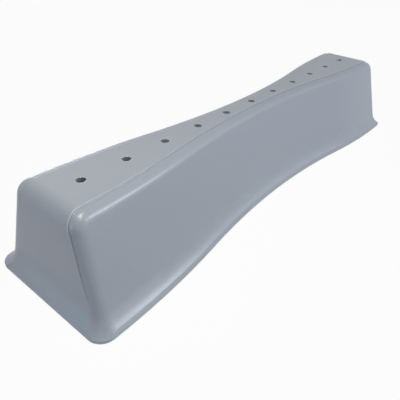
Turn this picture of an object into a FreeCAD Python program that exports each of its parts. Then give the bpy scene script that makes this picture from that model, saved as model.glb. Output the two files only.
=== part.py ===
import FreeCAD, Part
import math
import os

from FreeCAD import Vector

os.makedirs("parts", exist_ok=True)

# Foot outline, seen from above. All sizes in mm, angles in degrees.
FOOT_LENGTH = 243.0
FOOT_END_WIDTH = 61.0
FOOT_WAIST_WIDTH = 43.6
WIDEST_FROM_END = 7.8
WAIST_BEND_SHARE = 0.513
FOOT_CORNER_RADIUS = 6.1

# Flared lip round the foot
FLARE_RADIUS = 10.8
LIP_LAND = 0.8
LIP_BEVEL = 32.0
LIP_WIDTH = 1.9

# Body above the foot
HEIGHT = 40.7
CREST_WAIST_WIDTH = 14.6
END_DRAFT = 4.35
SIDE_WALL_SETBACK = 2.4
END_WALL_SETBACK = 3.55
END_TOP_RADIUS = 6.1
EDGE_RADIUS = 3.8

# Hollow under the crest
WALL = 2.0
MOUTH_HEIGHT = 8.0

# Raised strip over the crest and down both ends
STRIP_STEP = 0.6
STRIP_SHOULDER = 0.2

# Drip holes along the crest
DRIP_HOLE_COUNT = 11
DRIP_HOLE_PITCH = 20.0
DRIP_HOLE_DIAMETER = 3.6

# Cross ribs between the holes, the outer two carrying the screw bosses
RIB_COUNT = 4
HOLES_BETWEEN_RIBS = 3
RIB_THICKNESS = 1.6
RIB_FOOT_CLEARANCE = 4.0
BOSS_DIAMETER = 9.0
PILOT_DIAMETER = 3.8
PILOT_DEPTH = 18.0

# Allowances for the construction
LEAST_CORNER_SHARE = 0.2
SMALLEST_RADIUS = 1.0
BASE_DEPTH = 6.0
BASE_MARGIN = 24.0
OVERRUN = 5.0
CLEAR = 1.0
SHARP_TURN = 30.0
CORNERS = 4
SAME = 1e-4

HALF_LENGTH = FOOT_LENGTH / 2
END_HALF = FOOT_END_WIDTH / 2
WAIST_HALF = FOOT_WAIST_WIDTH / 2
WAIST_DEPTH = END_HALF - WAIST_HALF
WIDEST_STATION = HALF_LENGTH - WIDEST_FROM_END
BEND_SUM = (WIDEST_STATION ** 2 + WAIST_DEPTH ** 2) / (2 * WAIST_DEPTH)
WAIST_RADIUS = WAIST_BEND_SHARE * BEND_SUM
SHOULDER_RADIUS = BEND_SUM - WAIST_RADIUS
SIDE_RUN = WAIST_HALF - SIDE_WALL_SETBACK - CREST_WAIST_WIDTH / 2
SIDE_ANGLE = math.atan(SIDE_RUN / HEIGHT)
END_ANGLE = math.radians(END_DRAFT)
LONG_EDGE_RADIUS = max(EDGE_RADIUS, LEAST_CORNER_SHARE * FLARE_RADIUS)
STRIP_EDGE_INSET = LONG_EDGE_RADIUS + STRIP_SHOULDER
BODY_TOP = HEIGHT - STRIP_STEP
HOLLOW_TOP = BODY_TOP - WALL


def arc_about(centre, radius, first, last, z):
    """Level arc about a centre, between two bearings in radians."""
    points = []
    for bearing in (first, (first + last) / 2, last):
        x = centre[0] + radius * math.cos(bearing)
        y = centre[1] + radius * math.sin(bearing)
        points.append(Vector(x, y, z))
    return Part.Arc(*points).toShape()


def flank(inset, z):
    """The three tangent arcs of the +Y flank, from -X to +X."""
    up = math.pi / 2
    drop = math.atan2(WIDEST_STATION, BEND_SUM - WAIST_DEPTH)
    radius = SHOULDER_RADIUS - inset
    reach = math.asin((HALF_LENGTH + OVERRUN - WIDEST_STATION) / SHOULDER_RADIUS)
    waist = (0.0, WAIST_HALF + WAIST_RADIUS)
    left = (-WIDEST_STATION, END_HALF - SHOULDER_RADIUS)
    right = (WIDEST_STATION, END_HALF - SHOULDER_RADIUS)
    return [
        arc_about(left, radius, up + reach, up - drop, z),
        arc_about(waist, WAIST_RADIUS + inset, -up - drop, -up + drop, z),
        arc_about(right, radius, up + drop, up - reach, z),
    ]


def outline(inset, z):
    """Closed hourglass outline that overruns both ends."""
    near = flank(inset, z)
    far = [edge.rotated(Vector(0, 0, z), Vector(0, 0, 1), 180) for edge in near]
    right = Part.makeLine(near[2].Vertexes[-1].Point, far[0].Vertexes[0].Point)
    left = Part.makeLine(far[2].Vertexes[-1].Point, near[0].Vertexes[0].Point)
    return Part.Wire(near + [right] + far + [left])


def block(side_at, end_at, z_low, z_high):
    """Hourglass block whose insets from the foot outline vary with height."""
    wires = []
    profile = []
    for z in (z_low, z_high):
        wires.append(outline(side_at(z), z))
        reach = HALF_LENGTH - end_at(z)
        profile.append(Vector(reach, -END_HALF - CLEAR, z))
        profile.insert(0, Vector(-reach, -END_HALF - CLEAR, z))
    profile.append(profile[0])
    across = Vector(0, FOOT_END_WIDTH + 2 * CLEAR, 0)
    ends = Part.Face(Part.makePolygon(profile)).extrude(across)
    return Part.makeLoft(wires, True, True).common(ends)


def side_inset(z):
    return SIDE_WALL_SETBACK + z * math.tan(SIDE_ANGLE)


def end_inset(z):
    return END_WALL_SETBACK + z * math.tan(END_ANGLE)


def inner_side_inset(z):
    return side_inset(z) + WALL / math.cos(SIDE_ANGLE)


def inner_end_inset(z):
    return end_inset(z) + WALL / math.cos(END_ANGLE)


def round_end_tops(body, top, radius):
    """Rounds the two straight edges where the top meets the ends."""
    edges = []
    for edge in body.Edges:
        box = edge.BoundBox
        if box.ZMin > top - SAME and box.XLength < SAME:
            edges.append(edge)
    return body.makeFillet(radius, edges)


def round_corners(body, radius):
    """Rounds the four corner edges that rise from the foot outline."""
    rising = [edge for edge in body.Edges if edge.BoundBox.ZLength > SAME]
    rising.sort(key=lambda edge: abs(edge.CenterOfMass.x))
    return body.makeFillet(radius, rising[-CORNERS:])


def round_long_edges(body, radius):
    """Rounds the corners from the base up, over the ends and along the top."""
    edges = []
    for edge in body.Edges:
        middle = edge.valueAt((edge.FirstParameter + edge.LastParameter) / 2)
        normals = []
        for face in body.ancestorsOfType(edge, Part.Face):
            u, v = face.Surface.parameter(middle)
            normals.append(face.normalAt(u, v))
        turn = math.degrees(normals[0].getAngle(normals[1]))
        along = min(abs(normal.y) for normal in normals) < SAME
        if turn > SHARP_TURN and along and edge.BoundBox.ZMax > 0:
            edges.append(edge)
    return body.makeFillet(radius, edges)


def flared_body():
    """Rounded body on a wide base, with the flare's cove between them."""
    body = block(side_inset, end_inset, -BASE_DEPTH / 2, BODY_TOP)
    body = round_end_tops(body, BODY_TOP, END_TOP_RADIUS - STRIP_STEP)
    body = round_long_edges(body, LONG_EDGE_RADIUS)
    length = FOOT_LENGTH + 2 * BASE_MARGIN
    width = FOOT_END_WIDTH + 2 * BASE_MARGIN
    corner = Vector(-length / 2, -width / 2, -BASE_DEPTH)
    base = Part.makeBox(length, width, BASE_DEPTH, corner)
    whole = base.fuse(body).removeSplitter()
    floor = [face for face in whole.Faces if len(face.Wires) > 1]
    foot = min(floor[0].Wires, key=lambda wire: wire.BoundBox.XLength)
    return whole.makeFillet(FLARE_RADIUS, foot.Edges)


def foot_block(inset_at, z_low, z_high):
    return round_corners(block(inset_at, inset_at, z_low, z_high), FOOT_CORNER_RADIUS)


def lip_bevel():
    """Ring outside the lip that bevels it above its upright land."""
    lean = math.tan(math.radians(LIP_BEVEL))
    high = FLARE_RADIUS / 2
    corner = Vector(-HALF_LENGTH - CLEAR, -END_HALF - CLEAR, LIP_LAND)
    length = FOOT_LENGTH + 2 * CLEAR
    width = FOOT_END_WIDTH + 2 * CLEAR
    ring = Part.makeBox(length, width, high - LIP_LAND, corner)
    return ring.cut(foot_block(lambda z: lean * (z - LIP_LAND), LIP_LAND, high))


def strip():
    """Strip that stands proud of the crest and fades out down both ends."""
    fade = FLARE_RADIUS * (1 - math.sin(END_ANGLE))
    raised = block(
        lambda z: side_inset(z) + STRIP_EDGE_INSET,
        lambda z: end_inset(z) - STRIP_STEP * (z - fade) / (HEIGHT - fade),
        fade / 2,
        HEIGHT,
    )
    return round_end_tops(raised, HEIGHT, END_TOP_RADIUS)


def hollow():
    """Space inside the walls, widening to the lip at its mouth."""
    inside = block(inner_side_inset, inner_end_inset, -CLEAR, HOLLOW_TOP)
    inside = round_end_tops(inside, HOLLOW_TOP, max(END_TOP_RADIUS - WALL, SMALLEST_RADIUS))
    side_lean = (inner_side_inset(MOUTH_HEIGHT) - LIP_WIDTH) / MOUTH_HEIGHT
    end_lean = (inner_end_inset(MOUTH_HEIGHT) - LIP_WIDTH) / MOUTH_HEIGHT
    mouth = block(
        lambda z: LIP_WIDTH + side_lean * z,
        lambda z: LIP_WIDTH + end_lean * z,
        -CLEAR,
        MOUTH_HEIGHT + CLEAR,
    )
    corner_radius = max(FOOT_CORNER_RADIUS - LIP_WIDTH, SMALLEST_RADIUS)
    return inside.fuse(round_corners(mouth, corner_radius))


def stations(count, spacing):
    return [(i - (count - 1) / 2) * spacing for i in range(count)]


def rib_stations():
    return stations(RIB_COUNT, HOLES_BETWEEN_RIBS * DRIP_HOLE_PITCH)


def boss_stations():
    return [rib_stations()[0], rib_stations()[-1]]


def ribs():
    """Cross ribs, with a round boss in the first and the last."""
    pieces = []
    for x in rib_stations():
        corner = Vector(x - RIB_THICKNESS / 2, -END_HALF, RIB_FOOT_CLEARANCE)
        pieces.append(Part.makeBox(RIB_THICKNESS, FOOT_END_WIDTH, HEIGHT, corner))
    for x in boss_stations():
        pieces.append(Part.makeCylinder(BOSS_DIAMETER / 2, HEIGHT, Vector(x, 0, 0)))
    return pieces


def drilled_holes():
    """Drip holes through the crest and pilot holes up the bosses."""
    drills = []
    for x in stations(DRIP_HOLE_COUNT, DRIP_HOLE_PITCH):
        start = Vector(x, 0, HOLLOW_TOP - CLEAR)
        depth = HEIGHT - HOLLOW_TOP + 2 * CLEAR
        drills.append(Part.makeCylinder(DRIP_HOLE_DIAMETER / 2, depth, start))
    for x in boss_stations():
        start = Vector(x, 0, -CLEAR)
        drills.append(Part.makeCylinder(PILOT_DIAMETER / 2, PILOT_DEPTH + CLEAR, start))
    return drills


def paddle():
    foot = foot_block(lambda z: 0, 0, HEIGHT + CLEAR)
    skin = flared_body().common(foot).cut(lip_bevel()).fuse(strip())
    return skin.cut(hollow().cut(ribs())).cut(drilled_holes())


drum_paddle = paddle()
print("solids", len(drum_paddle.Solids), "volume", round(drum_paddle.Volume))
drum_paddle.exportStep("parts/drum_paddle.step")
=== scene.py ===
import math

import bpy
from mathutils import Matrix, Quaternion, Vector

MM = 0.001

# Camera, from the photograph's view of the paddle standing on its foot
IMAGE_SIZE = 400
FOCAL_PIXELS = 417.7
SENSOR_MM = 36.0
NEAREST_SEEN_MM = 10.0
CAMERA_PLACE_MM = (-166.57, -103.02, 115.12)
CAMERA_AIM_MM = (-58.39, -17.64, 20.0)
CAMERA_ROLL_DEGREES = 2.86

# Colours, as sRGB
GREY_PLASTIC = "#9fa9b8"
GREY_PLASTIC_PALE = "#a3adbb"
PAPER_WHITE = "#f4f4f4"
PURE_WHITE = "#ffffff"

# Studio, in metres; the floor and the world are white to the camera and in reflections
FLOOR_SIZE = 6.0
FLOOR_GLOW = 0.95
WORLD_STRENGTH = 0.05
WORLD_STRENGTH_SEEN = 1.0
# Length, width and height of the floor in the hollow, inside the waist of the foot
HOLLOW_FLOOR_MM = (237.0, 38.0, 0.2)

# Softboxes: place, width and height, watts, colour
LAMP_AIM = (-0.05, 0.0, 0.02)
SOFTBOXES = {
    "ceiling": ((-0.12, 0.0, 0.2), (0.03, 0.03), 0.136, "#fffaec"),
    "ceiling_near": ((-0.13, -0.06, 0.2), (0.02, 0.02), 0.04, "#fff4e4"),
    "main": ((0.25, -0.49, 0.39), (0.36, 0.06), 1.64, "#f6faff"),
    "low": ((0.12, -0.62, 0.07), (0.36, 0.04), 0.2, "#f0f6ff"),
    "left": ((-0.7, 0.25, 0.08), (0.12, 0.12), 0.38, "#8cc4ff"),
    "back": ((0.2, 0.7, 0.06), (0.3, 0.1), 0.9, "#f0f6ff"),
}

# Moulded plastic: sizes of its drifts and grain, and its shine
TONE_DRIFT_MM = 45.0
SHEEN_DRIFT_MM = 14.0
# The real grain is about 0.1 mm wide; it is drawn coarser so that it shows
GRAIN_MM = 0.7
GRAIN_DEPTH_MM = 0.1
GRAIN_STRENGTH = 0.6
POLYPROPYLENE_IOR = 1.49
SURFACE_SHINE = 0.95
ROUGHNESS_SMOOTHEST = 0.33
ROUGHNESS_DULLEST = 0.39

# Moulded plastic: tone of the painted highlight on sharp edges and of the painted shade in tight
# corners, as a share of the flat walls'
RELIEF_SAMPLES = 8
EDGE_SOFTNESS_MM = 0.5
EDGE_HIGHLIGHT_TONE = 1.6
EDGE_HIGHLIGHT_SOLIDITY = 0.6
CORNER_SHADE_REACH_MM = 0.5
CORNER_SHADE_TONE = 0.72
CORNER_SHADE_OPENNESS = 0.5
FLAT_OPENNESS = 0.9


def linear(hex_colour):
    """sRGB hex to linear RGBA."""
    channels = []
    for start in (1, 3, 5):
        value = int(hex_colour[start:start + 2], 16) / 255
        if value <= 0.04045:
            channels.append(value / 12.92)
        else:
            channels.append(((value + 0.055) / 1.055) ** 2.4)
    return (*channels, 1.0)


def add_node(tree, kind, settings=None, inputs=None):
    """Adds a node; an input is a value or another node's output socket."""
    node = tree.nodes.new(kind)
    for name, value in (settings or {}).items():
        setattr(node, name, value)
    for name, value in (inputs or {}).items():
        if isinstance(value, bpy.types.NodeSocket):
            tree.links.new(value, node.inputs[name])
        else:
            node.inputs[name].default_value = value
    return node


def new_material(name):
    """An empty material and its node tree."""
    material = bpy.data.materials.new(name)
    material.use_nodes = True
    material.node_tree.nodes.clear()
    return material, material.node_tree


def per_metre(size_mm):
    """Noise scale whose features are about this large."""
    return 1 / (size_mm * MM)


def looked_at(tree):
    """1 for a ray of the camera, a reflection or a refraction, and 0 for light."""
    ray = add_node(tree, "ShaderNodeLightPath").outputs
    mirrored = add_node(tree, "ShaderNodeMath", {"operation": "MAXIMUM"}, {
        0: ray["Is Glossy Ray"], 1: ray["Is Transmission Ray"]})
    either = add_node(tree, "ShaderNodeMath", {"operation": "MAXIMUM"}, {
        0: ray["Is Camera Ray"], 1: mirrored.outputs["Value"]})
    return either.outputs["Value"]


def moulded_grey_polypropylene():
    """Injection-moulded polypropylene from a finely eroded mould.

    The eye gets a cool pale grey with a soft satin shine, broken by a fine
    even grain, and faint broad drifts in tone where the melt flowed. Sharp
    edges are a little softened by the mould and lightened with a painted
    highlight, and tight corners are darkened with painted shade.
    """
    material, tree = new_material("moulded_grey_polypropylene")
    place = add_node(tree, "ShaderNodeTexCoord").outputs["Object"]

    # Colour: drifts in tone, a painted highlight on edges and painted shade in corners
    drift = add_node(tree, "ShaderNodeTexNoise", None, {
        "Vector": place, "Scale": per_metre(TONE_DRIFT_MM), "Detail": 3.0, "Roughness": 0.45})
    tone = add_node(tree, "ShaderNodeMix", {"data_type": "RGBA"}, {
        "Factor": drift.outputs["Fac"],
        "A": linear(GREY_PLASTIC), "B": linear(GREY_PLASTIC_PALE)})
    # Painted shade: the colour is darkened in tight corners and creases, where the occlusion finds
    # them
    corner_occlusion = add_node(
        tree, "ShaderNodeAmbientOcclusion",
        {"only_local": True, "samples": RELIEF_SAMPLES},
        {"Distance": CORNER_SHADE_REACH_MM * MM})
    painted_corner_shade = add_node(tree, "ShaderNodeMapRange", None, {
        "Value": corner_occlusion.outputs["AO"],
        "From Min": CORNER_SHADE_OPENNESS, "From Max": FLAT_OPENNESS,
        "To Min": CORNER_SHADE_TONE, "To Max": 1.0})
    # Painted highlight: the colour is lightened along sharp convex edges
    solidity = add_node(
        tree, "ShaderNodeAmbientOcclusion",
        {"inside": True, "only_local": True, "samples": RELIEF_SAMPLES},
        {"Distance": EDGE_SOFTNESS_MM * MM})
    painted_edge_highlight = add_node(tree, "ShaderNodeMapRange", None, {
        "Value": solidity.outputs["AO"],
        "From Min": EDGE_HIGHLIGHT_SOLIDITY, "From Max": FLAT_OPENNESS,
        "To Min": EDGE_HIGHLIGHT_TONE, "To Max": 1.0})
    painted_shade_and_highlight = add_node(tree, "ShaderNodeMath", {"operation": "MULTIPLY"}, {
        0: painted_corner_shade.outputs["Result"], 1: painted_edge_highlight.outputs["Result"]})
    shaded = add_node(tree, "ShaderNodeMix", {"data_type": "RGBA", "blend_type": "MULTIPLY"}, {
        "Factor": 1.0, "A": tone.outputs["Result"], "B": painted_shade_and_highlight.outputs["Value"]})

    # Shine, and the grain on softened edges
    sheen_drift = add_node(tree, "ShaderNodeTexNoise", None, {
        "Vector": place, "Scale": per_metre(SHEEN_DRIFT_MM), "Detail": 2.0})
    roughness = add_node(tree, "ShaderNodeMapRange", None, {
        "Value": sheen_drift.outputs["Fac"],
        "To Min": ROUGHNESS_SMOOTHEST, "To Max": ROUGHNESS_DULLEST})
    grain = add_node(tree, "ShaderNodeTexNoise", None, {
        "Vector": place, "Scale": per_metre(GRAIN_MM), "Detail": 2.0})
    softened = add_node(tree, "ShaderNodeBevel", {"samples": RELIEF_SAMPLES}, {
        "Radius": EDGE_SOFTNESS_MM * MM})
    relief = add_node(tree, "ShaderNodeBump", None, {
        "Height": grain.outputs["Fac"],
        "Strength": GRAIN_STRENGTH, "Distance": GRAIN_DEPTH_MM * MM,
        "Normal": softened.outputs["Normal"]})

    shader = add_node(tree, "ShaderNodeBsdfPrincipled", None, {
        "Base Color": shaded.outputs["Result"],
        "Roughness": roughness.outputs["Result"],
        "IOR": POLYPROPYLENE_IOR,
        "Specular IOR Level": SURFACE_SHINE,
        "Normal": relief.outputs["Normal"]})
    add_node(tree, "ShaderNodeOutputMaterial", None, {"Surface": shader.outputs["BSDF"]})
    return material


def white_floor():
    """Matt white paper: white to the camera, with the object's soft shadow."""
    material, tree = new_material("white_paper_floor")
    paper = add_node(tree, "ShaderNodeBsdfDiffuse", None, {"Color": linear(PAPER_WHITE)})
    glow = add_node(tree, "ShaderNodeEmission", None, {"Color": linear(PURE_WHITE), "Strength": 1.0})
    share = add_node(tree, "ShaderNodeMapRange", None, {
        "Value": looked_at(tree), "To Min": 0.0, "To Max": FLOOR_GLOW})
    blend = add_node(tree, "ShaderNodeMixShader", None, {
        "Fac": share.outputs["Result"], 1: paper.outputs["BSDF"], 2: glow.outputs["Emission"]})
    add_node(tree, "ShaderNodeOutputMaterial", None, {"Surface": blend.outputs["Shader"]})
    return material


def shaded_paper():
    """The same paper in the dark of the hollow, seen through the drip holes."""
    material, tree = new_material("shaded_paper")
    paper = add_node(tree, "ShaderNodeBsdfDiffuse", None, {"Color": linear(PAPER_WHITE)})
    add_node(tree, "ShaderNodeOutputMaterial", None, {"Surface": paper.outputs["BSDF"]})
    return material


def rectangle(length, width, height):
    """Corners of a level rectangle about the origin, at a height."""
    corners = ((-1, -1), (1, -1), (1, 1), (-1, 1))
    return [(x * length / 2, y * width / 2, height) for x, y in corners]


def add_floor():
    """The paper that the paddle stands on, in shade under its hollow."""
    mesh = bpy.data.meshes.new("floor")
    open_floor = rectangle(FLOOR_SIZE, FLOOR_SIZE, 0)
    under_hollow = rectangle(*(size * MM for size in HOLLOW_FLOOR_MM))
    mesh.from_pydata(open_floor + under_hollow, [], [(0, 1, 2, 3), (4, 5, 6, 7)])
    mesh.materials.append(white_floor())
    mesh.materials.append(shaded_paper())
    mesh.polygons[1].material_index = 1
    floor = bpy.data.objects.new("floor", mesh)
    bpy.context.scene.collection.objects.link(floor)


def light_world():
    """White to the camera and in reflections, a plain soft level elsewhere."""
    world = bpy.data.worlds.new("studio")
    bpy.context.scene.world = world
    world.use_nodes = True
    tree = world.node_tree
    tree.nodes.clear()
    strength = add_node(tree, "ShaderNodeMapRange", None, {
        "Value": looked_at(tree), "To Min": WORLD_STRENGTH, "To Max": WORLD_STRENGTH_SEEN})
    light = add_node(tree, "ShaderNodeBackground", None, {
        "Color": linear(PURE_WHITE), "Strength": strength.outputs["Result"]})
    add_node(tree, "ShaderNodeOutputWorld", None, {"Surface": light.outputs["Background"]})


def facing(place, aim):
    """Turn of a lamp or camera at a place that looks at a point."""
    return (Vector(aim) - Vector(place)).to_track_quat("-Z", "Y")


def add_softbox(name, place, size, watts, colour):
    """Lamp of a width and height that faces the paddle."""
    lamp = bpy.data.lights.new(name, "AREA")
    lamp.shape = "RECTANGLE"
    lamp.size, lamp.size_y = size
    lamp.energy = watts
    lamp.color = linear(colour)[:3]
    softbox = bpy.data.objects.new(name, lamp)
    softbox.location = place
    softbox.rotation_mode = "QUATERNION"
    softbox.rotation_quaternion = facing(place, LAMP_AIM)
    bpy.context.scene.collection.objects.link(softbox)


def add_camera():
    """The photograph's camera."""
    view = bpy.data.cameras.new("camera")
    view.sensor_fit = "HORIZONTAL"
    view.sensor_width = SENSOR_MM
    view.lens = SENSOR_MM * FOCAL_PIXELS / IMAGE_SIZE
    view.clip_start = NEAREST_SEEN_MM * MM
    camera = bpy.data.objects.new("camera", view)
    roll = Quaternion((0, 0, 1), math.radians(CAMERA_ROLL_DEGREES))
    camera.location = Vector(CAMERA_PLACE_MM) * MM
    camera.rotation_mode = "QUATERNION"
    camera.rotation_quaternion = facing(CAMERA_PLACE_MM, CAMERA_AIM_MM) @ roll
    bpy.context.scene.collection.objects.link(camera)
    bpy.context.scene.camera = camera


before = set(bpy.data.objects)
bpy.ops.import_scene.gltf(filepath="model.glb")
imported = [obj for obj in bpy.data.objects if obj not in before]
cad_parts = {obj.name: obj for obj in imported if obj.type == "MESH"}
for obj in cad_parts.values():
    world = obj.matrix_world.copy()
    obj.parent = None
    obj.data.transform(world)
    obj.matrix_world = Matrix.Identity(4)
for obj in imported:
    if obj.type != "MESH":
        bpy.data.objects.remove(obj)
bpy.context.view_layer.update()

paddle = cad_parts["drum_paddle"]
paddle.data.materials.clear()
paddle.data.materials.append(moulded_grey_polypropylene())

add_floor()
light_world()
for name, settings in SOFTBOXES.items():
    add_softbox(name, *settings)
add_camera()
bpy.context.scene.view_settings.view_transform = "Standard"
